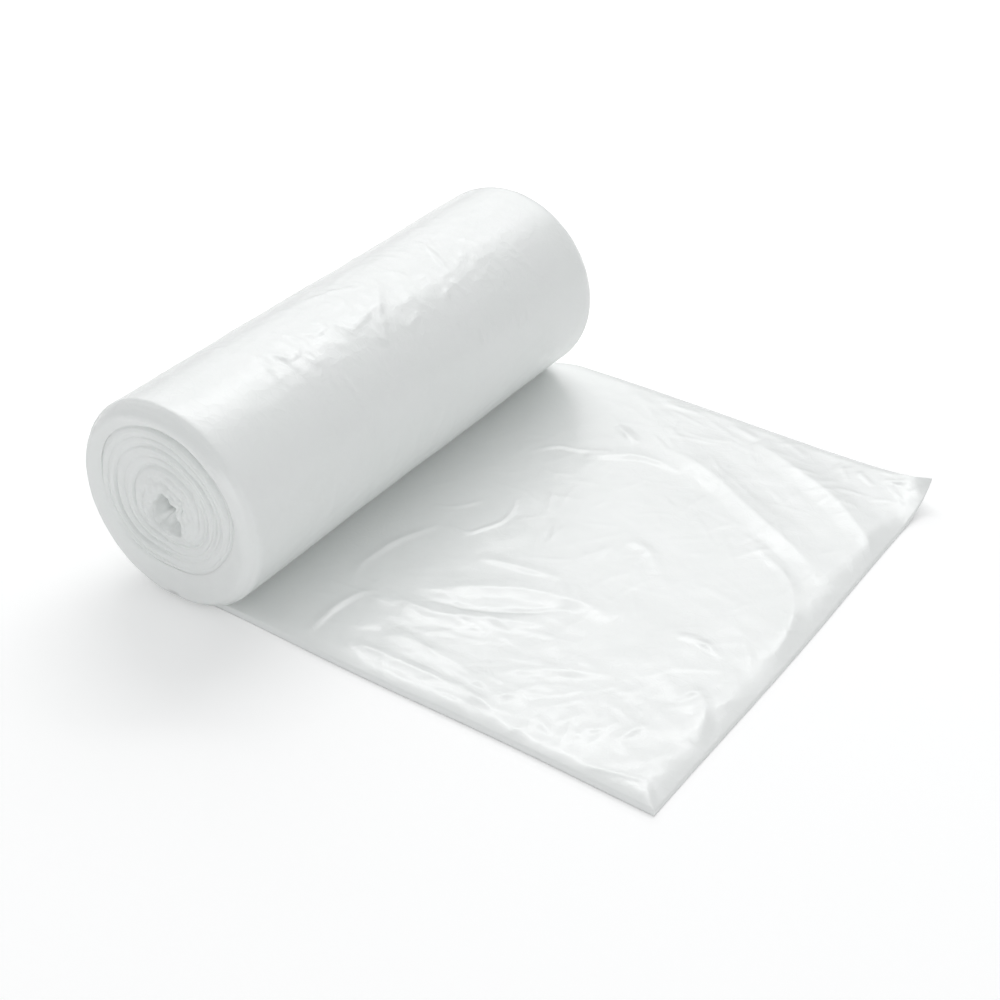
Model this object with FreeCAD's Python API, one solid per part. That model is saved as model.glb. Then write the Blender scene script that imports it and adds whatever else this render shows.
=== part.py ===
import FreeCAD, Part
import math
import os

# A roll of thin film bags with its loose end laid out flat. The strip of folded bags is wound on
# itself with no core. It comes off under the roll and lies on the table.
# The origin is on the table under the roll's axis, halfway along the roll. +Y runs along the axis to
# the far end, +X points along the loose end to its free edge, and +Z is up. Millimetres.

os.makedirs("parts", exist_ok=True)
doc = FreeCAD.newDocument("bag_roll")
V = FreeCAD.Vector

# Driving dimensions

sheet = doc.addObject("Spreadsheet::Sheet", "sizes")
SIZES = [
    ("roll_radius", 34, "outside of the last turn"),
    ("strip_width", 180, "folded strip, edge to edge, and the roll's length"),
    ("flat_spot", 12, "width that the soft roll presses flat on the table"),
    ("rim_rounding", 4.2, "rounding of the roll's two rims, across the roll"),
    ("rim_length", 5.0, "rounding of those rims, along the roll"),
    ("first_groove", 6.5, "from the skin in to the first groove between turns"),
    ("turn_pitch", 3.1, "from one groove to the next"),
    ("groove_width", 2.0, "width of the grooves between the turns' folded edges"),
    ("groove_depth", 2.4, "depth of those grooves"),
    ("hollow_width", 11, "hollow at the middle, along X"),
    ("hollow_height", 13, "hollow at the middle, along Z"),
    ("hollow_drop", 1.6, "how far the hollow lies under the roll's axis"),
    ("loose_length", 164.5, "loose end, from under the axis to its free edge"),
    ("loose_shift", 5.2, "loose end set towards the far end of the roll"),
    ("loose_thickness", 3.0, "airy thickness of the loose end"),
    ("root_thickness", 2.4, "thickness of the loose end where it leaves the roll"),
    ("edge_thickness", 0.9, "thickness at the folded edges of the loose end"),
    ("edge_slope", 9, "width over which the loose end thins to its edges"),
    ("fold_height", 1.4, "how far the soft folds stand up"),
    ("fold_width", 8.0, "half width of a soft fold"),
    ("corner_lift", 9.5, "how far the far corner stands off the table"),
    ("corner_reach", 22, "width of the lifted corner, measured across its bend"),
    ("corner_pull", 0.8, "how far the lifted corner draws in for each millimetre of its lift"),
]
for row, (alias, value, meaning) in enumerate(SIZES, start=1):
    sheet.set(f"A{row}", alias)
    sheet.set(f"B{row}", str(value))
    sheet.set(f"C{row}", meaning)
    sheet.setAlias(f"B{row}", alias)
doc.recompute()


def size(alias):
    return float(sheet.get(alias))


RADIUS = size("roll_radius")
WIDTH = size("strip_width")
# The roll's centre is a little lower than its radius, because of the flat spot.
CENTRE_Z = math.sqrt(RADIUS**2 - (size("flat_spot") / 2) ** 2)
ROOT_X = -size("flat_spot") / 4


# The wound turns: a body turned about the roll's axis, with rounded rims, then pressed flat below

def origin_feature(body, role):
    return next(f for f in body.Origin.OriginFeatures if f.Role == role)


def new_sketch(body, name, role):
    sketch = body.newObject("Sketcher::SketchObject", name)
    sketch.AttachmentSupport = [(origin_feature(body, role), "")]
    sketch.MapMode = "FlatFace"
    return sketch


def close_with_lines(sketch, points):
    for a, b in zip(points, points[1:] + points[:1]):
        sketch.addGeometry(Part.LineSegment(a, b), False)


# Each rim is rounded by this many narrow bevels, on an oval.
RIM_BEVELS = 3


def draw_half_section(sketch):
    """Half of the roll's lengthwise section, above its axis. The plane's own X is the roll's +Y."""
    half, rim, rim_long = WIDTH / 2, size("rim_rounding"), size("rim_length")
    rounding = []
    for i in range(RIM_BEVELS + 1):
        turn = math.pi / 2 * i / RIM_BEVELS
        along = half - rim_long * (1 - math.cos(turn))
        rounding.append((along, RADIUS - rim * (1 - math.sin(turn))))
    outline = [V(along, high, 0) for along, high in rounding]
    outline += [V(-along, high, 0) for along, high in reversed(rounding)]
    close_with_lines(sketch, [V(half, 0, 0)] + outline + [V(-half, 0, 0)])


# Outline of the crumpled hollow as shares of its half width and half height, from its middle.
HOLLOW_OUTLINE = [
    (-0.05, 1.00),
    (0.50, 0.85),
    (0.92, 0.62),
    (0.58, 0.18),
    (1.00, -0.45),
    (0.76, -1.00),
    (0.10, -0.82),
    (-0.82, -0.58),
    (-1.00, -0.30),
    (-0.66, 0.50),
]

turns = doc.addObject("PartDesign::Body", "wound_turns")
half_section = new_sketch(turns, "half_section", "YZ_Plane")
draw_half_section(half_section)
turned = turns.newObject("PartDesign::Revolution", "turned_roll")
turned.Profile = half_section
turned.ReferenceAxis = (half_section, ["H_Axis"])
turned.Angle = 360
doc.recompute()

# The body is made about the roll's own axis and then stands at its height over the table.
press = new_sketch(turns, "pressed_side", "XZ_Plane")
half_flat = size("flat_spot") / 2
close_with_lines(
    press,
    [
        V(-RADIUS, -CENTRE_Z, 0),
        V(RADIUS, -CENTRE_Z, 0),
        V(RADIUS, -CENTRE_Z - half_flat, 0),
        V(-RADIUS, -CENTRE_Z - half_flat, 0),
    ],
)
flattened = turns.newObject("PartDesign::Pocket", "flat_spot")
flattened.Profile = press
flattened.Type = "ThroughAll"
flattened.Midplane = True
doc.recompute()

outline = new_sketch(turns, "hollow_outline", "XZ_Plane")
half_w, half_h = size("hollow_width") / 2, size("hollow_height") / 2
drop = size("hollow_drop")
close_with_lines(outline, [V(x * half_w, z * half_h - drop, 0) for x, z in HOLLOW_OUTLINE])
hollow = turns.newObject("PartDesign::Pocket", "hollow")
hollow.Profile = outline
hollow.Type = "ThroughAll"
hollow.Midplane = True
turns.Placement = FreeCAD.Placement(V(0, 0, CENTRE_Z), FreeCAD.Rotation())
doc.recompute()


# The grooves between the turns: a spiral of half rings round two centres, at each end of the roll

# How far the cutters stand out of the roll's ends, so that they cut them cleanly.
CUT_OUTSIDE = 1.0


def groove_section(y_end, inward):
    """Section of a groove on the plane x = 0, at height 0: a cleft between two folded edges."""
    half, depth = size("groove_width") / 2, size("groove_depth")
    mouth = 1 + CUT_OUTSIDE / depth
    y_mouth = y_end - inward * CUT_OUTSIDE
    points = [V(0, y_mouth, mouth * half), V(0, y_mouth, -mouth * half)]
    points.append(V(0, y_end + inward * depth, 0))
    return Part.Face(Part.makePolygon(points + points[:1]))


def spiral_heights():
    """Where the groove crosses the plane x = 0, over and under the axis in turn."""
    innermost = size("hollow_height") / 2 + size("hollow_drop") + size("groove_width") / 2
    radius = RADIUS - size("first_groove")
    heights, side = [], -1
    while radius > innermost:
        heights.append(CENTRE_Z + side * radius)
        side = -side
        radius -= size("turn_pitch") / 2
    return heights


def groove_cutters(y_end, inward):
    """Each half ring turns clockwise in the plane of X and Z, from one height to the next."""
    heights = spiral_heights()
    cutters = []
    for start, stop in zip(heights, heights[1:]):
        face = groove_section(y_end, inward)
        face.translate(V(0, 0, start))
        centre = V(0, 0, (start + stop) / 2)
        cutters.append(face.revolve(centre, V(0, 1, 0), 180))
    return cutters


grooves = doc.addObject("Part::Feature", "turn_grooves")
grooves.Shape = Part.Compound(groove_cutters(-WIDTH / 2, 1) + groove_cutters(WIDTH / 2, -1))
grooved = doc.addObject("Part::Cut", "grooved_turns")
grooved.Base = turns
grooved.Tool = grooves
doc.recompute()


# The loose end: a soft sheet with a flat underside, a folded and pillowed top and one lifted corner

NEAR_Y = size("loose_shift") - WIDTH / 2
FAR_Y = size("loose_shift") + WIDTH / 2
LENGTH = size("loose_length")

# The main soft folds, as shares of the loose end's length and of the strip's width: how high each
# stands, as a share of fold_height, and the points that its crest runs through.
FOLDS = [
    (0.9, [(0.27, 0.04), (0.25, 0.13), (0.22, 0.23), (0.27, 0.37), (0.34, 0.46), (0.33, 0.56), (0.29, 0.69)]),
    (0.7, [(0.29, 0.69), (0.39, 0.74), (0.50, 0.81)]),
    (1.0, [(0.50, 0.81), (0.64, 0.78), (0.77, 0.72), (0.93, 0.62)]),
    (1.0, [(0.66, 0.93), (0.76, 0.89), (0.85, 0.84), (0.95, 0.76)]),
    (1.0, [(0.31, 0.15), (0.40, 0.20), (0.50, 0.27), (0.67, 0.35)]),
    (0.7, [(0.36, 0.06), (0.51, 0.10), (0.66, 0.08)]),
    (0.6, [(0.43, 0.37), (0.52, 0.38), (0.61, 0.41)]),
    (0.8, [(0.74, 0.12), (0.80, 0.18), (0.83, 0.14)]),
    (0.9, [(0.90, 0.27), (0.94, 0.20), (0.93, 0.13)]),
]


def distance_to(point, line):
    """Shortest distance from a point to a run of straight stretches, all as (x, y)."""
    px, py = point
    best = math.inf
    for (ax, ay), (bx, by) in zip(line, line[1:]):
        dx, dy = bx - ax, by - ay
        along = ((px - ax) * dx + (py - ay) * dy) / (dx * dx + dy * dy)
        along = min(1.0, max(0.0, along))
        best = min(best, math.hypot(px - ax - along * dx, py - ay - along * dy))
    return best


def crest_lines():
    lines = []
    for share, crest in FOLDS:
        lines.append((share, [(u * LENGTH, NEAR_Y + v * WIDTH) for u, v in crest]))
    return lines


CRESTS = crest_lines()


def smooth(t):
    t = min(1.0, max(0.0, t))
    return t * t * (3 - 2 * t)


def fold_rise(x, y):
    """Height that the folds add at a place on the laid-out strip. The highest one counts."""
    width = size("fold_width")
    rise = 0.0
    for share, line in CRESTS:
        rise = max(rise, share * math.exp(-((distance_to((x, y), line) / width) ** 2)))
    return size("fold_height") * rise


def corner_rise(x, y):
    """Lift of the underside at the far corner: the strip bends up along one round bend."""
    reach, lift = size("corner_reach"), size("corner_lift")
    bend = (reach**2 + lift**2) / (2 * lift)
    into = reach - ((LENGTH - x) + (FAR_Y - y)) / math.sqrt(2)
    if into <= 0:
        return 0.0
    return bend - math.sqrt(bend**2 - into**2)


# The loose end swells to its full thickness over this stretch, as shares of its length.
SWELL_START, SWELL_RUN = 0.10, 0.25


def thickness(x, y):
    """Thickness of the sheet, with its edges rounded off."""
    edge, slope = size("edge_thickness"), size("edge_slope")
    swell = smooth((x / LENGTH - SWELL_START) / SWELL_RUN)
    full = size("root_thickness") + (size("loose_thickness") - size("root_thickness")) * swell
    inset = min(y - NEAR_Y, FAR_Y - y, LENGTH - x)
    share = math.sin(math.pi / 2 * min(1.0, max(0.0, inset / slope)))
    return edge + (full - edge + fold_rise(x, y)) * share


# The far edge starts this far inside the roll's rounded rim, and it comes out over this share of the
# roll's radius.
RIM_CLEARANCE = 1.5
COMES_OUT = 0.9


def skewed_far(x, y):
    """The far edge starts inside the roll's rounded rim and reaches its place a little way out."""
    tucked = size("loose_shift") + size("rim_rounding") + RIM_CLEARANCE
    out = smooth((x - ROOT_X) / (RADIUS * COMES_OUT))
    across = (y - NEAR_Y) / WIDTH
    return y - tucked * (1 - out) * across


def spread(low, high, step, finer):
    """Values from low to high: a few close to each end, and evenly spaced ones between."""
    inner_low, inner_high = low + finer[-1], high - finer[-1]
    count = max(2, round((inner_high - inner_low) / step))
    middle = [inner_low + (inner_high - inner_low) * i / count for i in range(1, count)]
    return [low + f for f in finer] + middle + [high - f for f in reversed(finer)]


GRID_STEP = 9.0
EDGE_STEPS = [0.0, 0.4, 1.0]


def sheet_points():
    slope = size("edge_slope")
    finer = [share * slope for share in EDGE_STEPS]
    along = spread(ROOT_X, LENGTH, GRID_STEP, finer)
    across = spread(NEAR_Y, FAR_Y, GRID_STEP, finer)
    top = []
    for x in along:
        line = []
        for y in across:
            lift = corner_rise(x, y)
            place = V(x, skewed_far(x, y) - size("corner_pull") * lift, lift + thickness(x, y))
            line.append(place)
        top.append(line)
    return top


def surface_through(points):
    surface = Part.BSplineSurface()
    surface.interpolate(points)
    return surface


def boundary(surface):
    """The four edges of a surface, in order round it."""
    u0, u1, v0, v1 = surface.bounds()
    curves = [surface.vIso(v0), surface.uIso(u1), surface.vIso(v1), surface.uIso(u0)]
    return [curve.toShape() for curve in curves]


SEW_TOLERANCE = 1e-3


def make_loose_end():
    top_points = sheet_points()
    top = surface_through(top_points)
    floor = surface_through([[V(p.x, p.y, 0) for p in line] for line in top_points])
    top_edges, floor_edges = boundary(top), boundary(floor)
    walls = [Part.makeRuledSurface(a, b) for a, b in zip(top_edges, floor_edges)]
    base = Part.Face(Part.Wire(Part.__sortEdges__(floor_edges)))
    shell = Part.makeShell([top.toShape(), base] + walls)
    shell.sewShape(SEW_TOLERANCE)
    solid = Part.Solid(shell if shell.ShapeType == "Shell" else shell.Shells[0])
    if solid.Volume < 0:
        solid.reverse()
    return solid


# The cutter under the lifted corner runs past the corner's tip and under the table, and it is this many
# times as long as the corner's reach. It stops short of the bend's steepest part.
PAST_TIP, UNDER_TABLE, GAP_LENGTH = 6.0, 2.0, 6
STEEPEST = 0.9


def make_corner_gap():
    """The space under the lifted corner: a prism under one round bend, laid across the corner."""
    reach, lift = size("corner_reach"), size("corner_lift")
    bend = (reach**2 + lift**2) / (2 * lift)
    out = min(STEEPEST * bend, reach + PAST_TIP)
    rise = [bend - math.sqrt(bend**2 - d**2) for d in (out / 2, out)]
    start, middle, end = V(0, 0, 0), V(out / 2, 0, rise[0]), V(out, 0, rise[1])
    edges = [
        Part.Arc(start, middle, end).toShape(),
        Part.LineSegment(end, V(out, 0, -UNDER_TABLE)).toShape(),
        Part.LineSegment(V(out, 0, -UNDER_TABLE), V(0, 0, -UNDER_TABLE)).toShape(),
        Part.LineSegment(V(0, 0, -UNDER_TABLE), start).toShape(),
    ]
    section_face = Part.Face(Part.Wire(edges))
    section_face.translate(V(0, -GAP_LENGTH * reach / 2, 0))
    prism = section_face.extrude(V(0, GAP_LENGTH * reach, 0))
    prism.rotate(V(0, 0, 0), V(0, 0, 1), 45)
    along = reach / math.sqrt(2)
    prism.translate(V(LENGTH - along, FAR_Y - along, 0))
    return prism


loose = doc.addObject("Part::Feature", "loose_end")
loose.Shape = make_loose_end()
corner_gap = doc.addObject("Part::Feature", "corner_gap")
corner_gap.Shape = make_corner_gap()
lifted = doc.addObject("Part::Cut", "lifted_loose_end")
lifted.Base = loose
lifted.Tool = corner_gap
doc.recompute()
if lifted.Shape.Volume >= loose.Shape.Volume:
    raise RuntimeError("the space under the lifted corner cut nothing")

# The whole roll is one piece of film, so the turns and the loose end are one solid

roll = doc.addObject("Part::Fuse", "bag_roll")
roll.Base = grooved
roll.Tool = lifted
roll.Refine = True
roll.Label = "bag_roll"
roll.Placement = FreeCAD.Placement(V(0, 0, 0), FreeCAD.Rotation())
doc.recompute()

for item in doc.Objects:
    if "Invalid" in item.State or "Error" in item.State:
        raise RuntimeError(f"{item.Name} failed: {item.State}")

shape = roll.Shape
if shape.isNull() or not shape.isValid() or len(shape.Solids) != 1:
    raise RuntimeError(f"{roll.Label}: not one valid solid")
print(roll.Label, "volume", round(shape.Volume), "faces", len(shape.Faces))
shape.exportStep(f"parts/{roll.Label}.step")
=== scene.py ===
import math

import bpy
import numpy as np
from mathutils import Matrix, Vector


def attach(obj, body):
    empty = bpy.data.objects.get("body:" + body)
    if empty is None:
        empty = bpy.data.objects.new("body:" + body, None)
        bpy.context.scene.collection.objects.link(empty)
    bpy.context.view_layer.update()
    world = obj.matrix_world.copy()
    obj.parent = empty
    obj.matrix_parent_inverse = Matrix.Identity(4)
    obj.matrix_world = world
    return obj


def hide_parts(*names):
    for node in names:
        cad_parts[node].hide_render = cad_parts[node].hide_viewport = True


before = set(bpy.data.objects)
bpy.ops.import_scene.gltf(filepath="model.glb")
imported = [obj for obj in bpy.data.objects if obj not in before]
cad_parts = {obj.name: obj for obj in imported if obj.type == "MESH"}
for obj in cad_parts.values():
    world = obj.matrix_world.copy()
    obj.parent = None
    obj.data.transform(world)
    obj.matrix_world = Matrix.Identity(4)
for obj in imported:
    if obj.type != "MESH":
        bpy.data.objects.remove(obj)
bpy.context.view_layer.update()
scene = bpy.context.scene
scene.view_settings.view_transform = "Standard"

# The camera. It looks down at the roll's near end and along the loose end, from about 35 degrees over
# the table.

CAMERA_PLACE = (0.3195, -0.3778, 0.3279)
CAMERA_AIM = (0.0507, 0.0080, 0.0017)
LENS, SENSOR = 63.63, 36.0

bpy.ops.object.camera_add(location=CAMERA_PLACE)
camera = bpy.context.object
camera.name = "camera"
camera.data.lens, camera.data.sensor_width = LENS, SENSOR
look = Vector(CAMERA_AIM) - camera.location
camera.rotation_euler = look.to_track_quat("-Z", "Y").to_euler()
scene.camera = camera


# The inner turns. The strip of folded bags is wound on itself with no core, from a crumpled hollow out
# to the groove under the last turns. Thin milky film. Its folded edges stand side by side at both ends.

# The roll and the loose end are shaped in millimetres, and written to their meshes in metres.
MM = 0.001
ROLL_RADIUS = 34.0
CENTRE_Z = 33.466
HALF_ROLL = 90.0
HOLLOW_DROP = 1.6

# Where the three main clefts between the turns run: angles in degrees from +X towards +Z, and radii.
CLEFT_ONE = [(13, 27.4), (60, 27.8), (111, 27.2), (145, 26.3), (179, 24.8), (-165, 24.2), (-135, 23.3),
             (-117, 21.8), (-87, 20.6), (-57, 21.8), (-29, 23.2), (-8, 25.4)]
CLEFT_TWO = [(16, 21.0), (60, 21.4), (91, 21.0), (135, 20.5), (176, 19.6), (-160, 18.9), (-137, 17.5),
             (-114, 16.2), (-87, 15.6), (-57, 17.0), (-29, 18.0), (-5, 19.2)]
CLEFT_THREE = [(0, 14.4), (45, 14.8), (90, 14.4), (135, 13.6), (180, 13.0), (-166, 12.8), (-140, 11.8),
               (-103, 10.8), (-69, 12.2), (-40, 14.0)]
# The hollow's edge, about a middle that lies HOLLOW_DROP under the roll's axis.
HOLLOW_EDGE = [(92, 6.5), (65, 6.2), (41, 6.9), (23, 4.2), (0, 4.6), (-28, 6.4), (-56, 7.6), (-84, 5.9),
               (-112, 5.6), (-138, 6.2), (-155, 6.0), (178, 5.0), (136, 4.9), (112, 5.8)]
CLEFT_SOFTEN, HOLLOW_SOFTEN, SOFTEN_SAMPLES = 6, 4, 7

# Creased relief is a sum of triangle waves. Each wave's creases are bent by slower waves, this many
# times as long, and by this share of the wave.
BEND_LENGTH, BEND_SHARE = 2.6, 0.35


def blend(low, high, share):
    return low + (high - low) * share


def bump(t):
    """A soft bump, 1 at 0."""
    return np.exp(-(t**2))


def swell(at, centre, width):
    """A soft bump round one angle in degrees, or round one place on a piece."""
    return bump(((at - centre + 180) % 360 - 180) / width)


def smooth(t):
    """A soft step from 0 to 1."""
    t = np.clip(t, 0.0, 1.0)
    return t * t * (3 - 2 * t)


def round_the_roll(degrees, marks, soften):
    """Values at angles round the roll, read off marks of (angle, value) and softened by some degrees."""
    at, value = zip(*sorted(marks))
    offsets = np.linspace(-soften, soften, SOFTEN_SAMPLES)
    return sum(np.interp(degrees + off, at, value, period=360) for off in offsets) / SOFTEN_SAMPLES


def creased(a, b, seed, shortest, longest, count):
    """Creased relief over two coordinates: soft-bent triangle waves in seeded directions, about -1 to 1."""
    draw = np.random.default_rng(seed)
    total, scale = 0.0, 0.0
    for _ in range(count):
        heading, bend_heading = draw.uniform(0, 2 * math.pi, 2)
        wave = draw.uniform(shortest, longest)
        phase, bend_phase = draw.uniform(0, 1), draw.uniform(0, 2 * math.pi)
        bend = (a * math.cos(bend_heading) + b * math.sin(bend_heading)) / (BEND_LENGTH * wave)
        t = (a * math.cos(heading) + b * math.sin(heading)) / wave + phase
        t = t + BEND_SHARE * np.sin(2 * math.pi * bend + bend_phase)
        total = total + wave * (np.abs(t % 1 * 2 - 1) * 2 - 1)
        scale += wave**2
    return total / math.sqrt(scale)


def coordinates(piece):
    place = np.empty(len(piece.data.vertices) * 3)
    piece.data.vertices.foreach_get("co", place)
    return place.reshape(-1, 3)


def ring_piece(name, around, rows):
    """A closed ring of quads, and each vertex's step round the roll and row on the section."""
    middle = ROLL_RADIUS / 2
    bpy.ops.object.select_all(action="DESELECT")
    bpy.ops.mesh.primitive_torus_add(
        major_segments=around, minor_segments=rows, major_radius=middle, minor_radius=ROLL_RADIUS / 3
    )
    piece = bpy.context.object
    piece.name = name
    x, y, z = coordinates(piece).T
    step = np.round(np.arctan2(y, x) / (2 * math.pi) * around).astype(int) % around
    row = np.round(np.arctan2(z, np.hypot(x, y) - middle) / (2 * math.pi) * rows).astype(int) % rows
    return piece, step, row


def place_vertices(piece, millimetres):
    """Moves a piece's vertices to their places, turns its faces outwards and shades it smooth."""
    piece.data.vertices.foreach_set("co", (millimetres * MM).ravel())
    piece.data.update()
    bpy.ops.object.select_all(action="DESELECT")
    bpy.context.view_layer.objects.active = piece
    piece.select_set(True)
    bpy.ops.object.mode_set(mode="EDIT")
    bpy.ops.mesh.select_all(action="SELECT")
    bpy.ops.mesh.normals_make_consistent(inside=False)
    bpy.ops.object.mode_set(mode="OBJECT")
    bpy.ops.object.shade_smooth()


AROUND = 400
FACE_ROWS_NEAR, FACE_ROWS_FAR = 100, 50
HOLLOW_ROWS_NEAR, HOLLOW_ROWS_FAR = 30, 14

# Between the main clefts the turns wind clockwise from the seam, this many from one cleft to the next.
TURNS_PER_CLEFT, SEAM_ANGLE = 2, 150.0

# An end's face is laid out in levels: 1, 2 and 3 are the main clefts and 4 is the hollow's edge. It
# dips by FACE_DEPTH all over, and by DISH_DEPTH more round one level.
FACE_DEPTH, DISH_DEPTH, DISH_LEVEL, DISH_WIDTH = 0.55, 1.1, 2.9, 0.8
# Main clefts: level, depth, width in levels, and the share of the depth that stays all the way round.
FACE_CLEFTS = [(1, 3.2, 0.12, 0.0), (2, 2.8, 0.10, 0.0), (3, 2.2, 0.09, 0.2)]
# Ridges of the folded edges: how many in each turn, and how high they stand where they are strongest.
TURN_RIDGES = [(1, 1.8), (3, 0.5)]
RIDGE_ALWAYS, RIDGE_ROUNDING = 0.04, 0.7
# Creases of the face: height, shortest and longest wave, and number of waves. The first lie only near
# the hollow, from this level in.
HOLLOW_CREASES, FACE_CREASES = (0.35, 2.2, 6.0, 9), (0.10, 7, 20, 7)
CREASES_FROM, CREASES_RISE = 2.9, 0.8
# The face rounds off into the hollow over the last levels, by this depth.
MOUTH_FROM, MOUTH_LEVELS, MOUTH_DEPTH = 3.72, 0.28, 1.4

# Inside the hollow: how far in its rows run, and how they crowd at its mouth.
HOLLOW_RUN, HOLLOW_CROWDING = 34, 1.6
# It narrows by a share over a depth, and never under a least radius.
NARROWING, NARROWING_RUN, NARROWEST = 0.16, 8, 1.2
# Its wall is crumpled: height, the angle and the width of the side where that is strongest, the depth
# over which it grows, the radius that it is laid out on, and shortest, longest and number of waves.
CRUMPLE, CRUMPLE_SIDE, CRUMPLE_RUN = 0.55, (0, 400), 3
WALL_RADIUS, CRUMPLE_WAVES = 5.5, (5, 12, 8)

# Where the clefts and ridges are strong, at each end: the least strength, how much more there is at its
# two strongest places, and the angle and the width in degrees of each.
NEAR_STRENGTH = (0.03, 0.97, (44, 46), (-140, 42))
FAR_STRENGTH = (0.35, 0.50, (120, 70), (-60, 60))

# Folds beside the hollow at the near end: x and z from the roll's axis, radius, and how far they stand.
# The hidden far end has the last four of them.
LIP_FOLDS = [(6.6, 0.6, 1.6, 1.1), (8.6, -3.6, 2.4, 0.9), (9.0, -7.6, 2.2, 0.6), (-6.4, 5.2, 1.6, 0.6),
             (-3.4, 7.2, 1.3, 0.5), (3.0, 8.2, 2.6, 0.5), (-8.4, -1.4, 2.6, 0.5), (-1.2, -10.2, 2.4, 0.4)]
# Bulges of film inside the hollow: angle, width in degrees, depth, length, and height.
BULGES_NEAR = [(-112, 50, 5.2, 3.2, 4.0), (20, 30, 10, 5, 1.6), (130, 34, 9, 5, 1.5)]
BULGES_FAR = [(-60, 50, 8, 5, 2.0), (150, 40, 10, 5, 1.4)]

degrees = np.arange(AROUND) * 360 / AROUND
radians = np.radians(degrees)
clefts = [round_the_roll(degrees, marks, CLEFT_SOFTEN) for marks in (CLEFT_ONE, CLEFT_TWO, CLEFT_THREE)]
hollow_edge = round_the_roll(degrees, HOLLOW_EDGE, HOLLOW_SOFTEN)


def cleft_strength(angle, least, more, one, other):
    return least + more * np.maximum(swell(angle, *one), swell(angle, *other))


def end_face(end, strengths, lips, bulges, seed, rows, hollow_rows):
    """Section rows of one end, -1 for the near one and 1 for the far one, from the first cleft in to
    the hollow. Each row is a radius, how far its centre lies under the roll's axis, and a y."""
    strength = cleft_strength(degrees, *strengths)
    clockwise = (SEAM_ANGLE - degrees) % 360 / 360
    lines = [*clefts, hollow_edge]
    section_rows = []
    for level in np.linspace(1, len(lines), rows):
        low = min(int(level), len(lines) - 1)
        r = blend(lines[low - 1], lines[low], level - low)
        drop = HOLLOW_DROP * smooth(level - len(clefts))
        x, z = r * np.cos(radians), r * np.sin(radians) - drop
        depth = FACE_DEPTH + DISH_DEPTH * bump((level - DISH_LEVEL) / DISH_WIDTH)
        for at, deepest, width, always in FACE_CLEFTS:
            depth = depth + blend(always, 1, strength) * deepest * bump((level - at) / width)
        turn = TURNS_PER_CLEFT * (level - 1) - clockwise
        for count, height in TURN_RIDGES:
            ridge = np.abs(np.sin(count * math.pi * turn)) ** RIDGE_ROUNDING
            depth = depth - (RIDGE_ALWAYS + strength) * height * (ridge - 0.5)
        height, *waves = HOLLOW_CREASES
        near_hollow = smooth((level - CREASES_FROM) / CREASES_RISE)
        depth = depth - near_hollow * height * creased(x, z, seed, *waves)
        height, *waves = FACE_CREASES
        depth = depth - height * creased(x, z, seed + 1, *waves)
        for lip_x, lip_z, lip_radius, lip_height in lips:
            depth = depth - lip_height * bump(np.hypot(x - lip_x, z - lip_z) / lip_radius)
        into = max(0.0, (level - MOUTH_FROM) / MOUTH_LEVELS)
        depth = depth + MOUTH_DEPTH * (1 - math.sqrt(1 - into**2))
        section_rows.append((r, drop, end * (HALF_ROLL - depth)))
    for share in np.linspace(0, 1, hollow_rows + 1)[1:]:
        inside = HOLLOW_RUN * share**HOLLOW_CROWDING
        r = hollow_edge * (1 - NARROWING * smooth(inside / NARROWING_RUN))
        crumpled = creased(radians * WALL_RADIUS, np.full(AROUND, inside), seed + 2, *CRUMPLE_WAVES)
        r = r + CRUMPLE * crumpled * swell(degrees, *CRUMPLE_SIDE) * smooth(inside / CRUMPLE_RUN)
        for angle, width, at, length, height in bulges:
            r = r - height * swell(degrees, angle, width) * bump((inside - at) / length)
        section_rows.append((np.maximum(r, NARROWEST), HOLLOW_DROP, end * (HALF_ROLL - depth - inside)))
    return section_rows


near_face = end_face(-1, NEAR_STRENGTH, LIP_FOLDS, BULGES_NEAR, 11, FACE_ROWS_NEAR, HOLLOW_ROWS_NEAR)
far_face = end_face(1, FAR_STRENGTH, LIP_FOLDS[4:], BULGES_FAR, 41, FACE_ROWS_FAR, HOLLOW_ROWS_FAR)

# The hidden outer side runs under the last turns, a little outside the first cleft. It starts at a
# small ledge inside the cleft's bottom.
TUCK, TUCK_DEPTH, LEDGE = 0.5, 8.0, 0.4
hidden = clefts[0] + TUCK
tuck_y = np.full(AROUND, HALF_ROLL - TUCK_DEPTH)
middle_radius = (near_face[-1][0] + far_face[-1][0]) / 2
section = [(hidden, 0.0, -tuck_y), (hidden, 0.0, near_face[0][2] + LEDGE)]
section += near_face
section += [(middle_radius, HOLLOW_DROP, np.zeros(AROUND))]
section += reversed(far_face)
section += [(hidden, 0.0, far_face[0][2] - LEDGE), (hidden, 0.0, tuck_y)]

rings = np.empty((AROUND, len(section), 3))
for index, (r, drop, y) in enumerate(section):
    rings[:, index, 0] = r * np.cos(radians)
    rings[:, index, 1] = y
    rings[:, index, 2] = CENTRE_Z - drop + r * np.sin(radians)

inner_turns, step, row = ring_piece("inner_turns", AROUND, len(section))
place_vertices(inner_turns, rings[step, row])


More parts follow.
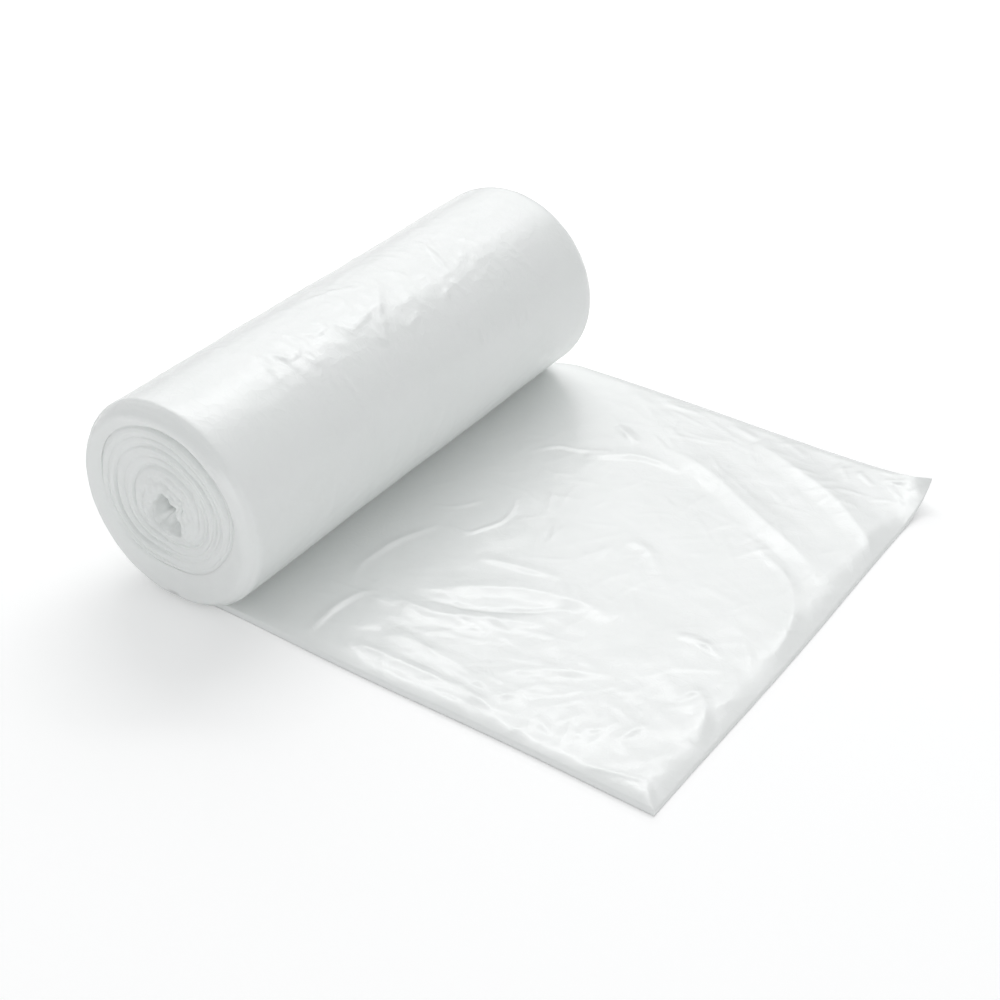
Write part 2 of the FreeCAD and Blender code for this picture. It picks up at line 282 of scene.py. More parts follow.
def film_crinkle_group():
    """Fine creases, haze and thickness of the film, as masks over the piece's own coordinates."""
    group = bpy.data.node_groups.new("film_crinkle", "ShaderNodeTree")
    for name, value in (("Crease Scale", 260.0), ("Haze Low", 0.3), ("Haze High", 0.45)):
        socket = group.interface.new_socket(name, in_out="INPUT", socket_type="NodeSocketFloat")
        socket.default_value = value
    for name in ("Height", "Haze", "Thickness"):
        group.interface.new_socket(name, in_out="OUTPUT", socket_type="NodeSocketFloat")
    nodes, links = group.nodes, group.links
    inputs, outputs = nodes.new("NodeGroupInput"), nodes.new("NodeGroupOutput")
    place = nodes.new("ShaderNodeTexCoord")

    # The creases are bent by a slow noise.
    drift = nodes.new("ShaderNodeTexNoise")
    drift.inputs["Scale"].default_value = 70
    drift.inputs["Detail"].default_value = 3
    links.new(place.outputs["Object"], drift.inputs["Vector"])
    bend = nodes.new("ShaderNodeVectorMath")
    bend.operation = "MULTIPLY_ADD"
    bend.inputs[1].default_value = (0.009, 0.009, 0.009)
    links.new(drift.outputs["Color"], bend.inputs[0])
    links.new(place.outputs["Object"], bend.inputs[2])

    # Sharp creases between small flats, and fine ripples on them.
    creases = nodes.new("ShaderNodeTexVoronoi")
    creases.feature = "DISTANCE_TO_EDGE"
    links.new(bend.outputs[0], creases.inputs["Vector"])
    links.new(inputs.outputs["Crease Scale"], creases.inputs["Scale"])
    sharp = nodes.new("ShaderNodeMapRange")
    sharp.interpolation_type = "SMOOTHSTEP"
    sharp.inputs["From Max"].default_value = 0.16
    sharp.inputs["To Min"].default_value = 1.0
    sharp.inputs["To Max"].default_value = 0.0
    links.new(creases.outputs["Distance"], sharp.inputs["Value"])
    ripples = nodes.new("ShaderNodeTexNoise")
    ripples.inputs["Scale"].default_value = 420
    ripples.inputs["Detail"].default_value = 5
    ripples.inputs["Roughness"].default_value = 0.6
    links.new(bend.outputs[0], ripples.inputs["Vector"])
    height = nodes.new("ShaderNodeMath")
    height.operation = "MULTIPLY_ADD"
    height.inputs[1].default_value = 0.35
    links.new(sharp.outputs["Result"], height.inputs[0])
    links.new(ripples.outputs["Fac"], height.inputs[2])
    links.new(height.outputs[0], outputs.inputs["Height"])

    # Clouds of thicker, hazier film.
    clouds = nodes.new("ShaderNodeTexNoise")
    clouds.inputs["Scale"].default_value = 55
    clouds.inputs["Detail"].default_value = 4
    links.new(place.outputs["Object"], clouds.inputs["Vector"])
    haze = nodes.new("ShaderNodeMapRange")
    haze.inputs["From Min"].default_value = 0.3
    haze.inputs["From Max"].default_value = 0.7
    links.new(clouds.outputs["Fac"], haze.inputs["Value"])
    links.new(inputs.outputs["Haze Low"], haze.inputs["To Min"])
    links.new(inputs.outputs["Haze High"], haze.inputs["To Max"])
    links.new(haze.outputs["Result"], outputs.inputs["Haze"])
    links.new(clouds.outputs["Fac"], outputs.inputs["Thickness"])
    return group


FILM_CRINKLE = film_crinkle_group()


def film(name, tints, crease_scale, haze, crease_height, coat, coat_haze):
    """Milky polyethylene film: hazy, with some light scattered inside it and a thin soft gloss on top."""
    material = bpy.data.materials.new(name)
    material.use_nodes = True
    nodes, links = material.node_tree.nodes, material.node_tree.links
    shader = nodes["Principled BSDF"]
    crinkle = nodes.new("ShaderNodeGroup")
    crinkle.node_tree = FILM_CRINKLE
    crinkle.inputs["Crease Scale"].default_value = crease_scale
    crinkle.inputs["Haze Low"].default_value, crinkle.inputs["Haze High"].default_value = haze
    thin, thick = tints
    tint = nodes.new("ShaderNodeMix")
    tint.data_type = "RGBA"
    tint.inputs["A"].default_value = (*thin, 1)
    tint.inputs["B"].default_value = (*thick, 1)
    links.new(crinkle.outputs["Thickness"], tint.inputs["Factor"])
    links.new(tint.outputs["Result"], shader.inputs["Base Color"])
    links.new(crinkle.outputs["Haze"], shader.inputs["Roughness"])
    relief = nodes.new("ShaderNodeBump")
    relief.inputs["Distance"].default_value = crease_height
    relief.inputs["Strength"].default_value = 0.6
    links.new(crinkle.outputs["Height"], relief.inputs["Height"])
    links.new(relief.outputs["Normal"], shader.inputs["Normal"])
    shader.inputs["IOR"].default_value = 1.6
    shader.inputs["Subsurface Weight"].default_value = 0.5
    shader.inputs["Subsurface Radius"].default_value = (1.0, 1.0, 1.0)
    shader.inputs["Subsurface Scale"].default_value = 0.0012
    shader.inputs["Coat Weight"].default_value = coat
    shader.inputs["Coat Roughness"].default_value = coat_haze
    return material


# Colours of the wound film where it is thin and where it is thick.
WOUND_TINTS = (0.915, 0.935, 0.925), (0.885, 0.91, 0.897)
inner_turns.data.materials.append(film(
    "film_edges", WOUND_TINTS, crease_scale=420, haze=(0.38, 0.5), crease_height=0.00015,
    coat=0.15, coat_haze=0.25,
))
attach(inner_turns, "root")
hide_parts("bag_roll")


# The outer turns. The last few turns of the strip, wound smooth and tight, with soft rounded rims and
# short cross wrinkles. The film's own edges show as faint steps round the roll beside the near rim.

SKIN_AROUND = 340
RIM_ACROSS, RIM_ALONG = 4.2, 5.0
# Rows of an end's flat band and of its rim: many at the near end and fewer at the hidden far end.
BAND_ROWS_NEAR, BAND_ROWS_FAR = 15, 10
RIM_ROWS_NEAR, RIM_ROWS_FAR = 16, 9
# Beside the near rim the rows lie closer together, over this length.
FINE_BAND, FINE_ROWS, SKIN_ROWS = 9.0, 14, 192

skin_degrees = np.arange(SKIN_AROUND) * 360 / SKIN_AROUND - 90
skin_radians = np.radians(skin_degrees)
cleft = round_the_roll(skin_degrees, CLEFT_ONE, CLEFT_SOFTEN)

# The roll is pressed flat where it lies.
downward = np.maximum(-np.sin(skin_radians), 1e-6)
skin_radius = np.minimum(ROLL_RADIUS, CENTRE_Z / downward)

# A fold rises from its ends by the first power, and over its width by the second.
FOLD_RUN_OUT, FOLD_POINT = 0.6, 1.3


def rounded(line, times=2):
    """A run of points with its corners cut, for a smooth bend."""
    for _ in range(times):
        quarter, three = blend(line[1:], line[:-1], 0.75), blend(line[1:], line[:-1], 0.25)
        line = np.vstack([line[:1], np.stack([quarter, three], 1).reshape(-1, 2), line[-1:]])
    return line


def fold(a, b, points, height, near, far):
    """Height of one fold over two coordinates. Its right side is near wide and its left side far wide."""
    line = rounded(np.array(points, float))
    reach = max(near, far)
    (low_a, low_b), (high_a, high_b) = line.min(0) - reach, line.max(0) + reach
    inside = (a > low_a) & (a < high_a) & (b > low_b) & (b < high_b)
    u, v = a[inside], b[inside]
    closest, side, share = np.full(u.shape, np.inf), np.zeros(u.shape), np.zeros(u.shape)
    runs = np.hypot(*np.diff(line, axis=0).T)
    start = 0.0
    for p, q, run in zip(line, line[1:], runs):
        t = (q - p) / run
        along = np.clip((u - p[0]) * t[0] + (v - p[1]) * t[1], 0, run)
        off_u, off_v = u - p[0] - along * t[0], v - p[1] - along * t[1]
        away = np.hypot(off_u, off_v)
        nearer = away < closest
        closest = np.where(nearer, away, closest)
        side = np.where(nearer, t[0] * off_v - t[1] * off_u, side)
        share = np.where(nearer, (start + along) / runs.sum(), share)
        start += run
    wide = np.where(side < 0, near, far)
    run_out = np.maximum(np.sin(math.pi * share), 0) ** FOLD_RUN_OUT
    rise = np.zeros(a.shape)
    rise[inside] = height * run_out * np.clip(1 - closest / wide, 0, 1) ** FOLD_POINT
    return rise


# Two slow bulges: height, turns round the roll, radians for each millimetre along it, and phase.
SKIN_BULGES = [(0.12, 1, 2 * math.pi / 95, 0.7), (0.10, 2, 1 / 40, 0.0)]
# The crown, where the skin is more creased: its angle and width, its middle along the roll, how far it
# reaches to each side, and over what length it fades.
CROWN, CROWN_MIDDLE, CROWN_REACH, CROWN_FADE = (76, 30), 4, 70, 30
# Creases all over, from coarse to fine: height, more height on the crown, stretch along the roll, seed,
# shortest and longest wave, and number of waves.
SKIN_CREASES = [
    (0.07, 0.0, 1.0, 71, 16, 40, 8),
    (0.026, 0.055, 0.7, 73, 5, 11, 9),
    (0.012, 0.022, 1.0, 75, 2.2, 4.5, 9),
]
# Cross wrinkles: points of (angle in degrees, place along the roll), height, and width.
SKIN_WRINKLES = [
    ([(80, -45), (74, -45), (70, -42), (73, -37)], 0.484, 1.2),
    ([(78, -31), (74, -27), (77, -23)], 0.440, 1.2),
    ([(86, 9), (74, 1), (63, -7), (52, -14)], 0.484, 2.4),
    ([(94, 37), (81, 34), (66, 31)], 0.484, 1.3),
    ([(92, 40), (83, 37)], 0.396, 1.2),
    ([(34, 27), (26, 26), (17, 26)], 0.352, 0.9),
    ([(28, 43), (18, 41)], 0.374, 0.9),
    ([(22, 47), (15, 45)], 0.308, 0.9),
    ([(22, 51), (13, 50)], 0.308, 0.9),
    ([(29, 34), (22, 33)], 0.330, 0.9),
    ([(22, 17), (15, 20), (11, 22)], 0.308, 1.0),
    ([(32, -46), (22, -45)], 0.330, 0.9),
    ([(30, -39), (16, -38)], 0.352, 0.9),
    ([(23, -33), (10, -33)], 0.330, 0.9),
    ([(52, -33), (40, -33), (26, -32)], 0.286, 1.2),
    ([(55, -36), (43, -38)], 0.308, 1.0),
    ([(101, -16), (95, -7), (85, 3)], 0.484, 1.6),
    ([(71, -1), (68, -12), (65, -22)], 0.440, 2.0),
    ([(62, -5), (49, -13)], 0.484, 1.8),
    ([(92, -38), (84, -35), (74, -34)], 0.396, 1.2),
    ([(57, 24), (50, 20)], 0.440, 1.4),
    ([(87, 14), (75, 17)], 0.440, 1.4),
    ([(60, 28), (47, 30)], 0.352, 1.3),
    ([(54, 8), (50, -1)], 0.396, 1.6),
    ([(22, -4), (16, -5)], 0.286, 0.9),
    ([(130, -60), (112, -52), (101, -50)], 0.242, 1.6),
    ([(150, 20), (128, 26), (112, 24)], 0.242, 1.6),
    ([(175, -20), (160, -24), (140, -22)], 0.198, 1.5),
    ([(200, 40), (182, 44), (165, 41)], 0.198, 1.5),
    ([(190, -62), (172, -58)], 0.198, 1.5),
]
# Seeded small wrinkles: how many, the band of angles and of places that they lie in, and their height.
SMALL_WRINKLES = [(70, (40, 105), (-55, 62), 0.190), (60, (-12, 45), (-80, 80), 0.076),
                  (70, (105, 245), (-80, 80), 0.171)]
# Their half length, lean, bow, width, and share of the height, each between these bounds.
WRINKLE_HALF, WRINKLE_LEAN, WRINKLE_BOW = (3, 8), (-0.5, 0.5), (-0.6, 0.6)
WRINKLE_WIDTH, WRINKLE_SHARE = (0.9, 1.8), (0.5, 1.2)
WRINKLE_SEED = 91


def skin_relief(angle, y):
    """How far the skin stands over the plain round roll."""
    arc = np.radians(angle) * ROLL_RADIUS
    rise = np.zeros(arc.shape)
    for height, turns, pace, phase in SKIN_BULGES:
        rise = rise + height * np.sin(turns * np.radians(angle) + pace * y + phase)
    crown = swell(angle, *CROWN) * smooth((CROWN_REACH - np.abs(y - CROWN_MIDDLE)) / CROWN_FADE)
    for height, more, stretch, seed, *waves in SKIN_CREASES:
        rise = rise + (height + more * crown) * creased(arc, y * stretch, seed, *waves)
    for points, height, width in SKIN_WRINKLES:
        line = [(math.radians(at) * ROLL_RADIUS, along) for at, along in points]
        rise = rise + fold(arc, y, line, height, width, width)
    draw = np.random.default_rng(WRINKLE_SEED)
    for count, angles, places, height in SMALL_WRINKLES:
        for _ in range(count):
            at, along = draw.uniform(*angles), draw.uniform(*places)
            half, lean = draw.uniform(*WRINKLE_HALF), draw.uniform(*WRINKLE_LEAN)
            middle = math.radians(at) * ROLL_RADIUS
            line = [(middle - half, along - lean * half), (middle, along + draw.uniform(*WRINKLE_BOW)),
                    (middle + half, along + lean * half)]
            width = draw.uniform(*WRINKLE_WIDTH)
            rise = rise + fold(arc, y, line, height * draw.uniform(*WRINKLE_SHARE), width, width)
    return rise


# The flat band between a rim and the first cleft stays CLEFT_GAP clear of the cleft's line. It dips by
# BAND_DIP towards the cleft, and then falls into it over a rounded lip. INSIDE_DEPTHS are the depths
# of the two hidden rows in the cleft, and BAND_CROWDING crowds the band's rows there.
CLEFT_GAP, BAND_DIP, LIP_WIDTH, LIP_DEPTH = 0.1, 0.5, 1.5, 1.7
INSIDE_DEPTHS, BAND_CROWDING = (7.0, 3.2), 1.5


def band_row(share, strength):
    """Radius and depth of a row of the flat band, whose share is 0 at the rim and 1 at the cleft."""
    r = blend(ROLL_RADIUS - RIM_ACROSS, cleft + CLEFT_GAP, share)
    toward = np.clip((r - cleft) / LIP_WIDTH, 0, 1)
    lip = strength * LIP_DEPTH * (1 - np.sqrt(1 - (1 - toward) ** 2))
    return r, BAND_DIP * smooth(share) + lip


def rim_rows(strengths, band_rows, rows):
    """Radius and depth of one end's rows, from inside the first cleft out to the skin."""
    strength = cleft_strength(skin_degrees, *strengths)
    section_rows = [(cleft + CLEFT_GAP, np.full(SKIN_AROUND, depth)) for depth in INSIDE_DEPTHS]
    for share in 1 - np.linspace(0, 1, band_rows) ** BAND_CROWDING:
        section_rows.append(band_row(share, strength))
    pinch = np.minimum(1.0, skin_radius / ROLL_RADIUS)
    for turn in np.linspace(0, math.pi / 2, rows)[1:]:
        r = (ROLL_RADIUS - RIM_ACROSS * (1 - math.sin(turn))) * pinch
        section_rows.append((r, np.full(SKIN_AROUND, RIM_ALONG * (1 - math.cos(turn)))))
    return section_rows


near_rim = rim_rows(NEAR_STRENGTH, BAND_ROWS_NEAR, RIM_ROWS_NEAR)
far_rim = rim_rows(FAR_STRENGTH, BAND_ROWS_FAR, RIM_ROWS_FAR)
skin_start, skin_end = -HALF_ROLL + RIM_ALONG, HALF_ROLL - RIM_ALONG
skin_y = np.concatenate([
    np.linspace(skin_start, skin_start + FINE_BAND, FINE_ROWS)[1:-1],
    np.linspace(skin_start + FINE_BAND, skin_end, SKIN_ROWS)[:-1],
])
tube = [(r, depth - HALF_ROLL) for r, depth in near_rim]
tube += [(skin_radius, np.full(SKIN_AROUND, y)) for y in skin_y]
tube += [(r, HALF_ROLL - depth) for r, depth in reversed(far_rim)]
tube_r = np.array([r for r, _ in tube]).T
tube_y = np.array([y for _, y in tube]).T

# The film's edges near the rim, as (angle, place along the roll), one line for each of the last turns.
# Outside each line lies one turn less, so the skin steps down by EDGE_STEP over EDGE_RAMP.
FILM_EDGES = [[(-90, -84.6), (180, -85.6), (90, -86.6), (45, -87.0), (15, -87.0), (-30, -87.4)],
              [(-90, -86.6), (180, -87.0), (90, -87.7), (45, -88.4), (15, -89.2), (-30, -89.6)]]
EDGE_STEP, EDGE_RAMP, EDGE_SOFTEN = 0.28, 0.4, 10
# Creases of the flat bands: height, seed, shortest and longest wave, and number of waves.
BAND_CREASE, BAND_WAVES = 0.12, (81, 9, 24, 8)

skin_angle = np.repeat(skin_degrees[:, None], tube_r.shape[1], 1)
toward_skin = smooth((tube_r - (ROLL_RADIUS - RIM_ACROSS)) / RIM_ACROSS)
relief = skin_relief(skin_angle, tube_y)
for edge in FILM_EDGES:
    edge_y = round_the_roll(skin_angle, edge, EDGE_SOFTEN)
    relief += EDGE_STEP * (smooth((tube_y - edge_y) / EDGE_RAMP + 0.5) - 1)
relief *= toward_skin
tube_x = tube_r * np.cos(skin_radians)[:, None]
tube_z = tube_r * np.sin(skin_radians)[:, None]
band_relief = (1 - toward_skin) * BAND_CREASE * creased(tube_x, tube_z, *BAND_WAVES)
tube_y = tube_y + np.sign(tube_y) * band_relief
tube_x = tube_x + relief * np.cos(skin_radians)[:, None]
tube_z = np.maximum(CENTRE_Z + tube_z + relief * np.sin(skin_radians)[:, None], 0.0)

outer_turns, step, row = ring_piece("outer_turns", SKIN_AROUND, len(tube))
place_vertices(outer_turns, np.stack([tube_x, tube_y, tube_z], 2)[step, row])
outer_turns.data.materials.append(film(
    "film_wound", WOUND_TINTS, crease_scale=300, haze=(0.33, 0.45), crease_height=0.00012,
    coat=0.8, coat_haze=0.23,
))
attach(outer_turns, "root")
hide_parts("bag_roll")


# The loose end. The strip's last stretch, flat folded film with air in it. It comes off under the roll
# and lies on the table, pillowed and creased, with its far corner curled up off the table.

ROOT_X, FREE_X = -3.0, 164.5
NEAR_Y, FAR_Y = -84.8, 95.2
ALONG, ACROSS = 286, 286
# The grid's first and last EDGE_ROWS of rows crowd into EDGE_BAND, both as shares of a side.
EDGE_ROWS, EDGE_BAND = 0.03, 0.008
CORNER_REACH, CORNER_LIFT, CORNER_PULL = 22.0, 9.5, 0.8

# Main folds: height, width of the near side, width of the far side, and points of the crest.
LOOSE_FOLDS = [
    (0.64, 2.2, 3.0, [(44.5, -82), (44, -73.5), (43.3, -67), (45, -58), (50, -53)]),
    (0.60, 2.2, 3.0, [(41, -55), (36.2, -47.7), (36.8, -38.8), (37.5, -30.6), (40.8, -22.5), (44, -15)]),
    (0.36, 1.2, 1.6, [(46, -14), (54.1, -15.2), (56.9, -9.3), (59.4, -4.6), (59.2, 2.3), (55.6, 11)]),
    (0.28, 1.2, 1.6, [(35.8, -7.9), (43.1, -4.9), (47.8, 3.5)]),
    (0.80, 6.0, 5.0, [(49, -57), (57.9, -53.5), (63.7, -52.9), (72.8, -51.7), (82.3, -46.8),
                      (91.8, -41.9), (101, -38)]),
    (0.68, 5.0, 8.0, [(62, -43), (73.1, -34.9), (82.4, -29.3), (91.9, -26.2), (99.8, -25.1),
                      (106, -23.4), (114, -26)]),
    (-0.40, 2.0, 2.0, [(61, -48.4), (77, -45.4), (89.4, -38.4), (102, -28.6)]),
    (0.48, 2.5, 4.0, [(64, -22.7), (73.8, -20.5), (80.8, -19.4), (92, -17.9)]),
    (0.68, 4.0, 3.0, [(56, -77), (70, -75.5), (83.2, -75.9), (94.7, -75.8), (104.5, -76.6), (112, -81)]),
    (0.64, 4.0, 4.0, [(61, -66), (76, -66.4), (88.6, -67.4), (99.4, -70.9), (109, -74)]),
    (0.36, 3.0, 3.0, [(102, -61.5), (113.8, -53), (127, -47)]),
    (0.32, 2.0, 3.0, [(119, -73.5), (127, -77)]),
    (0.36, 2.2, 3.0, [(131.5, -81), (129.5, -72), (127, -64)]),
    (0.36, 2.2, 3.0, [(142.5, -69), (146, -58)]),
    (0.64, 3.5, 3.5, [(147.5, -46), (149.5, -38), (156.1, -43.7), (161, -57)]),
    (0.28, 1.2, 1.4, [(141, -82), (150.2, -79.6), (158, -77.5)]),
    (0.44, 2.0, 3.0, [(133.5, -21.5), (141, -19.2), (149, -22.5)]),
    (0.28, 1.6, 2.0, [(151, -12), (157, -19.5)]),
    (0.48, 2.6, 4.0, [(97, 11), (106, 10.6), (112.5, 1)]),
    (0.64, 2.8, 6.0, [(60, 44), (67, 48), (73, 53.1), (81.7, 55), (92, 53.5)]),
    (1.32, 6.0, 11.0, [(77, 63), (93.3, 61.1), (105.8, 55.7), (119.5, 47.6), (130.4, 42.1),
                       (141, 36.8), (149.3, 31.9), (157, 25)]),
    (1.32, 6.0, 11.0, [(103, 84), (116.2, 79.1), (123.1, 75.7), (132.2, 72), (141.7, 67),
                       (150.9, 60.1), (159.8, 53.5), (163.5, 47)]),
    (0.56, 2.6, 4.0, [(129, 31.5), (138.1, 27.6), (144.9, 23.7), (150.2, 18.9), (156.5, 6.7),
                      (159.3, -2.4), (160.2, -13)]),
    (0.60, 2.5, 4.0, [(59, 65.5), (71, 60)]),
    (0.48, 2.2, 3.0, [(64, 88), (78, 88.5)]),
    (0.48, 2.2, 3.0, [(91, 89), (104, 85.5)]),
    (0.40, 1.6, 2.2, [(43.5, 35), (49.3, 43.9), (56, 45), (66.9, 50.5)]),
    (0.32, 1.0, 1.4, [(133, 88), (139.5, 79.5)]),
    (0.48, 1.8, 2.2, [(139.5, 87), (147, 82)]),
    (0.40, 1.6, 2.0, [(149, 87.5), (156, 89.5)]),
    (0.36, 1.2, 1.6, [(151.5, 85), (160.5, 79)]),
]
# Seeded small creases: how many, the part of the sheet that they lie in, their heading and its spread
# in degrees, half their length, and their height.
SMALL_CREASES = [
    (60, (44, 118), (-82, -42), 2, 22, (5, 13), 0.13),
    (46, (104, 158), (-82, -44), 70, 60, (3, 8), 0.13),
    (60, (58, 118), (-24, 44), 108, 26, (3, 8), 0.12),
    (34, (48, 118), (-44, 50), 20, 30, (5, 12), 0.09),
    (40, (112, 160), (-46, 44), 60, 70, (4, 10), 0.11),
    (46, (50, 130), (52, 92), -20, 30, (4, 10), 0.15),
    (22, (132, 163), (60, 94), 40, 60, (3, 7), 0.16),
    (24, (26, 48), (-80, 84), 62, 26, (4, 9), 0.07),
]
# How far they bow, as a share of their half length, and the bounds of their two sides' widths and of
# their share of the height.
CREASE_BOW, CREASE_NEAR, CREASE_FAR, CREASE_SHARE = 0.12, (0.9, 2.2), (1.2, 3.2), (0.4, 1.2)
CREASE_SEED = 57
# Creases all over, from coarse to fine: height under the roll, more height where the sheet lies free,
# more along the near side, stretch along X and Y, seed, shortest and longest wave, and number of waves.
SHEET_CREASES = [
    (0.0, 0.22, 0.0, 1.0, 1.0, 21, 34, 70, 6),
    (0.01, 0.05, 0.05, 1.0, 1.2, 23, 11, 24, 8),
    (0.004, 0.012, 0.02, 0.8, 1.0, 25, 4.5, 9, 9),
    (0.002, 0.003, 0.004, 1.0, 1.0, 27, 2.0, 3.6, 9),
]
# The sheet lies free from an x on, and grows free over a run. The near side's creases lie round a y,
# with a width, and start the same way.
FREE_FROM, FREE_RUN = 26, 22
BUSY_SIDE, BUSY_FROM, BUSY_RUN = (-66, 30), 40, 15


def spaced(share):
    """Places grid lines close together beside both edges."""
    return np.interp(share, (0, EDGE_ROWS, 1 - EDGE_ROWS, 1), (0, EDGE_BAND, 1 - EDGE_BAND, 1))


def corner_rise(x, y):
    """Lift of the far corner along one round bend, and how far into the bend each place lies."""
    bend = (CORNER_REACH**2 + CORNER_LIFT**2) / (2 * CORNER_LIFT)
    into = np.maximum(0, CORNER_REACH - ((FREE_X - x) + (FAR_Y - y)) / math.sqrt(2))
    return bend - np.sqrt(bend**2 - into**2), smooth(into / CORNER_REACH)


def sheet_relief(x, y):
    """Folds and creases of the loose end's upper side."""
    free = smooth((x - FREE_FROM) / FREE_RUN)
    busy = swell(y, *BUSY_SIDE) * smooth((x - BUSY_FROM) / BUSY_RUN)
    rise = np.zeros(x.shape)
    for height, more_free, more_busy, stretch_x, stretch_y, seed, *waves in SHEET_CREASES:
        height = height + more_free * free + more_busy * busy
        rise += height * creased(x * stretch_x, y * stretch_y, seed, *waves)
    for height, near, far, points in LOOSE_FOLDS:
        rise += fold(x, y, points, height, near, far)
    draw = np.random.default_rng(CREASE_SEED)
    for count, xs, ys, heading, spread, halves, height in SMALL_CREASES:
        for _ in range(count):
            middle = np.array([draw.uniform(*xs), draw.uniform(*ys)])
            turn = math.radians(heading + draw.normal(0, spread))
            half = draw.uniform(*halves) * np.array([math.cos(turn), math.sin(turn)])
            sideways = draw.normal(0, CREASE_BOW) * np.array([-half[1], half[0]])
            line = [middle - half, middle + sideways, middle + half]
            near, far = draw.uniform(*CREASE_NEAR), draw.uniform(*CREASE_FAR)
            rise += fold(x, y, line, height * draw.uniform(*CREASE_SHARE), near, far)
    return rise


bpy.ops.object.select_all(action="DESELECT")
bpy.ops.mesh.primitive_grid_add(x_subdivisions=ALONG, y_subdivisions=ACROSS, size=2)
loose_end = bpy.context.object
loose_end.name = "loose_end"
bpy.ops.object.mode_set(mode="EDIT")
bpy.ops.mesh.select_all(action="SELECT")
bpy.ops.mesh.extrude_region_move(TRANSFORM_OT_translate={"value": (0, 0, 1)})
bpy.ops.object.mode_set(mode="OBJECT")

grid = coordinates(loose_end)
upper = grid[:, 2] > 0.5
x = blend(ROOT_X, FREE_X, spaced((grid[:, 0] + 1) / 2))
y = blend(NEAR_Y, FAR_Y, spaced((grid[:, 1] + 1) / 2))
lift, curled = corner_rise(x, y)

# Thickness of the edge, and how far in from it the sheet reaches its full thickness: both sides are
# thick and steep, and the free end is thin and gentle. At a corner one turns into the other over
# SIDE_BLEND.
SIDE_THICK, SIDE_SLOPE, END_THICK, END_SLOPE, SIDE_BLEND = 1.9, 4.5, 0.9, 9.0, 6
# The edge is rounded over EDGE_ROUND, from the share EDGE_START of its thickness.
EDGE_ROUND, EDGE_START = 0.7, 0.15
# Full thickness out in the open and at the root, and where it grows, as shares of FREE_X.
THICK, ROOT_THICK, SWELL_START, SWELL_RUN = 3.0, 2.4, 0.10, 0.25
# The curled corner's edge and full thickness are smaller by these shares.
CURL_THINS_EDGE, CURL_THINS = 0.45, 0.6
# The relief fades to this share at the edge, and never presses the sheet under this share of the edge.
RELIEF_AT_EDGE, LEAST_THICK = 0.12, 0.6
side_inset, end_inset = np.minimum(y - NEAR_Y, FAR_Y - y), FREE_X - x
inset = np.minimum(side_inset, end_inset)
beside = smooth((end_inset - side_inset) / SIDE_BLEND + 0.5)
edge_thick = blend(END_THICK, SIDE_THICK, beside) * (1 - CURL_THINS_EDGE * curled)
slope = np.sin(math.pi / 2 * np.clip(inset / blend(END_SLOPE, SIDE_SLOPE, beside), 0, 1))
round_share = 1 - np.clip(inset / EDGE_ROUND, 0, 1)
lip = edge_thick * blend(EDGE_START, 1, np.sqrt(1 - round_share**2))
full = blend(ROOT_THICK, THICK, smooth((x / FREE_X - SWELL_START) / SWELL_RUN))
full = full * (1 - CURL_THINS * curled)
relief = sheet_relief(x, y) * blend(RELIEF_AT_EDGE, 1, slope)
top = lift + np.maximum(lip + (full - edge_thick) * slope + relief, lip * LEAST_THICK)

# The strip leaves the roll between its rims: its far edge starts RIM_CLEARANCE inside the rounded rim,
# and comes out over a share of the roll's radius. Its edges wander a little: how far, over what length
# for each radian, and phase. The free end's wandering starts at one x and grows over a run.
RIM_CLEARANCE, COMES_OUT = 1.5, 0.9
SIDE_WANDER, END_WANDER, END_WANDER_FROM, END_WANDER_RUN = (0.30, 17, 1), (0.35, 23, 2), 120, 44


def wander(at, amount, length, phase):
    return amount * np.sin(at / length + phase)


tucked = FAR_Y - HALF_ROLL + RIM_ACROSS + RIM_CLEARANCE
out = smooth((x - ROOT_X) / (ROLL_RADIUS * COMES_OUT))
across = (y - NEAR_Y) / (FAR_Y - NEAR_Y)
y_place = y - tucked * (1 - out) * across - CORNER_PULL * lift
y_place += wander(x, *SIDE_WANDER) * (1 - 2 * across) * out
x_place = x + wander(y, *END_WANDER) * smooth((x - END_WANDER_FROM) / END_WANDER_RUN)
place_vertices(loose_end, np.stack([x_place, y_place, np.where(upper, top, lift)], 1))

# The underside is flat where it lies, so one face takes the place of its grid there.
ON_TABLE = 1e-7
bpy.ops.object.mode_set(mode="EDIT")
bpy.ops.mesh.select_mode(type="FACE")
bpy.ops.mesh.select_all(action="DESELECT")
bpy.ops.object.mode_set(mode="OBJECT")
centres = np.empty(len(loose_end.data.polygons) * 3)
loose_end.data.polygons.foreach_get("center", centres)
loose_end.data.polygons.foreach_set("select", centres.reshape(-1, 3)[:, 2] < ON_TABLE)
bpy.ops.object.mode_set(mode="EDIT")
bpy.ops.mesh.delete(type="FACE")
bpy.ops.mesh.select_mode(type="EDGE")
bpy.ops.mesh.select_non_manifold()
bpy.ops.mesh.edge_face_add()
bpy.ops.object.mode_set(mode="OBJECT")

LOOSE_TINTS = (0.905, 0.922, 0.914), (0.88, 0.90, 0.89)
loose_end.data.materials.append(film(
    "film_loose", LOOSE_TINTS, crease_scale=240, haze=(0.34, 0.46), crease_height=0.00010,
    coat=1.0, coat_haze=0.23,
))
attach(loose_end, "root")
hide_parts("bag_roll")


# The table and the light, as seen from the camera. A plain white table top without an edge in view. A
# large soft light and, twice as far off, a narrow one stand high behind the roll, a weak one stands low
# behind it on the left and another low in front, and even light comes from all round.

TABLE_SIZE, TABLE_DROP = 6, 0.00005

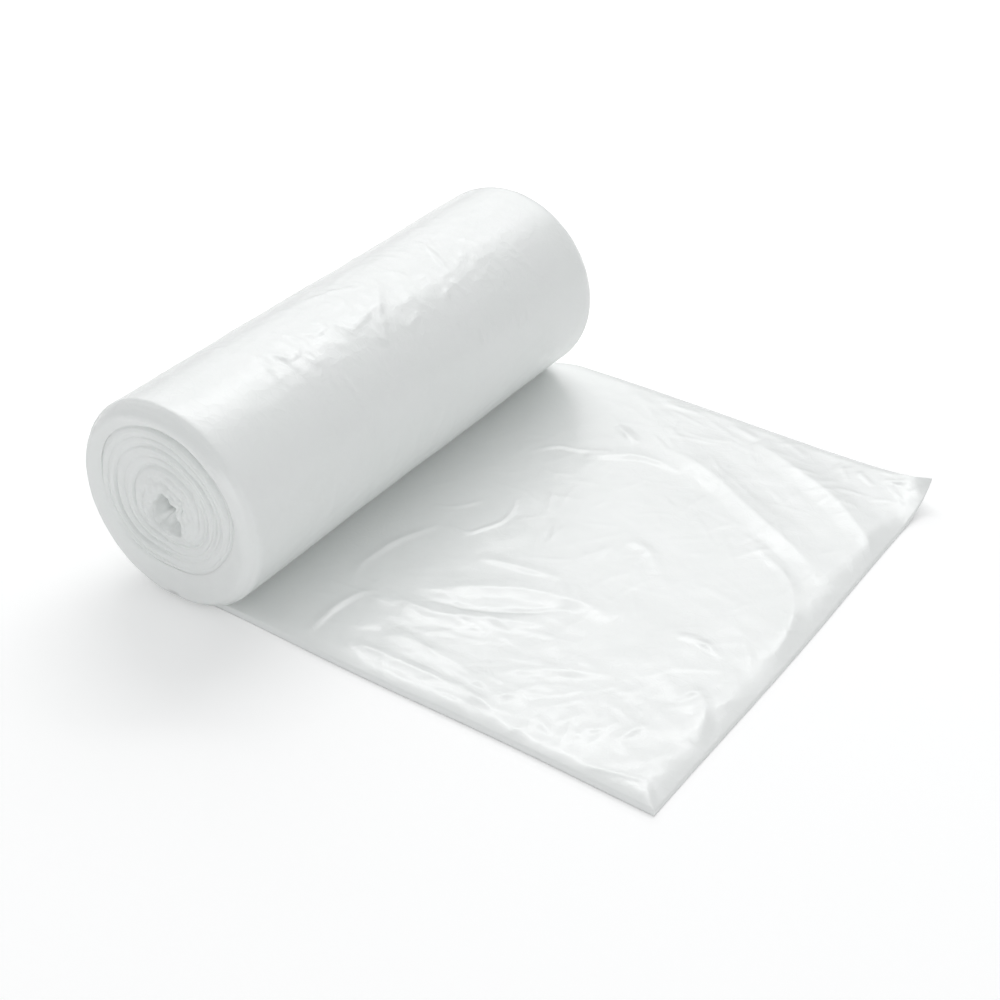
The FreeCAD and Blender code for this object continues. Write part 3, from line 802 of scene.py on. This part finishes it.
bpy.ops.object.select_all(action="DESELECT")
bpy.ops.mesh.primitive_plane_add(size=TABLE_SIZE, location=(0, 0, -TABLE_DROP))
table = bpy.context.object
table.name = "table"
table_top = bpy.data.materials.new("table_top")
table_top.use_nodes = True
nodes, links = table_top.node_tree.nodes, table_top.node_tree.links
shader = nodes["Principled BSDF"]
shader.inputs["Base Color"].default_value = (0.95, 0.95, 0.95, 1)
shader.inputs["Roughness"].default_value = 0.9
shader.inputs["Specular IOR Level"].default_value = 0.0
seen = nodes.new("ShaderNodeLightPath")
glow = nodes.new("ShaderNodeMath")
glow.operation = "MULTIPLY"
glow.inputs[1].default_value = 0.20
links.new(seen.outputs["Is Camera Ray"], glow.inputs[0])
shader.inputs["Emission Color"].default_value = (1, 1, 1, 1)
links.new(glow.outputs[0], shader.inputs["Emission Strength"])
table.data.materials.append(table_top)

# The world is white to the camera and gives less light than that to the object.
WORLD_LEVEL = 0.55
world = bpy.data.worlds.new("studio")
scene.world = world
world.use_nodes = True
nodes, links = world.node_tree.nodes, world.node_tree.links
around_light = nodes["Background"]
around_light.inputs["Color"].default_value = (0.985, 0.995, 1.0, 1)
seen = nodes.new("ShaderNodeLightPath")
level = nodes.new("ShaderNodeMapRange")
level.inputs["To Min"].default_value = WORLD_LEVEL
level.inputs["To Max"].default_value = 1.0
links.new(seen.outputs["Is Camera Ray"], level.inputs["Value"])
links.new(level.outputs["Result"], around_light.inputs["Strength"])

# Each light: its direction and its distance from the middle, its width and height, and its power.
MIDDLE = Vector((0.05, 0.0, 0.02))
LIGHTS = [
    ("soft_box", (-0.34, 0.60, 0.80), 1.3, (1.5, 1.1), 5.6),
    ("strip_light", (-0.315, 0.545, 0.777), 2.6, (2.0, 0.32), 8.5),
    ("back_card", (-0.72, 0.66, 0.33), 1.3, (0.9, 0.5), 0.9),
    ("front_fill", (0.55, -0.80, 0.20), 1.3, (1.2, 0.5), 2.2),
]
for name, towards, away, (wide, high), power in LIGHTS:
    towards = Vector(towards).normalized()
    bpy.ops.object.light_add(type="AREA", location=MIDDLE + towards * away)
    lamp = bpy.context.object
    lamp.name = name
    lamp.data.shape = "RECTANGLE"
    lamp.data.size, lamp.data.size_y = wide, high
    lamp.data.energy = power
    lamp.rotation_euler = (-towards).to_track_quat("-Z", "Y").to_euler()
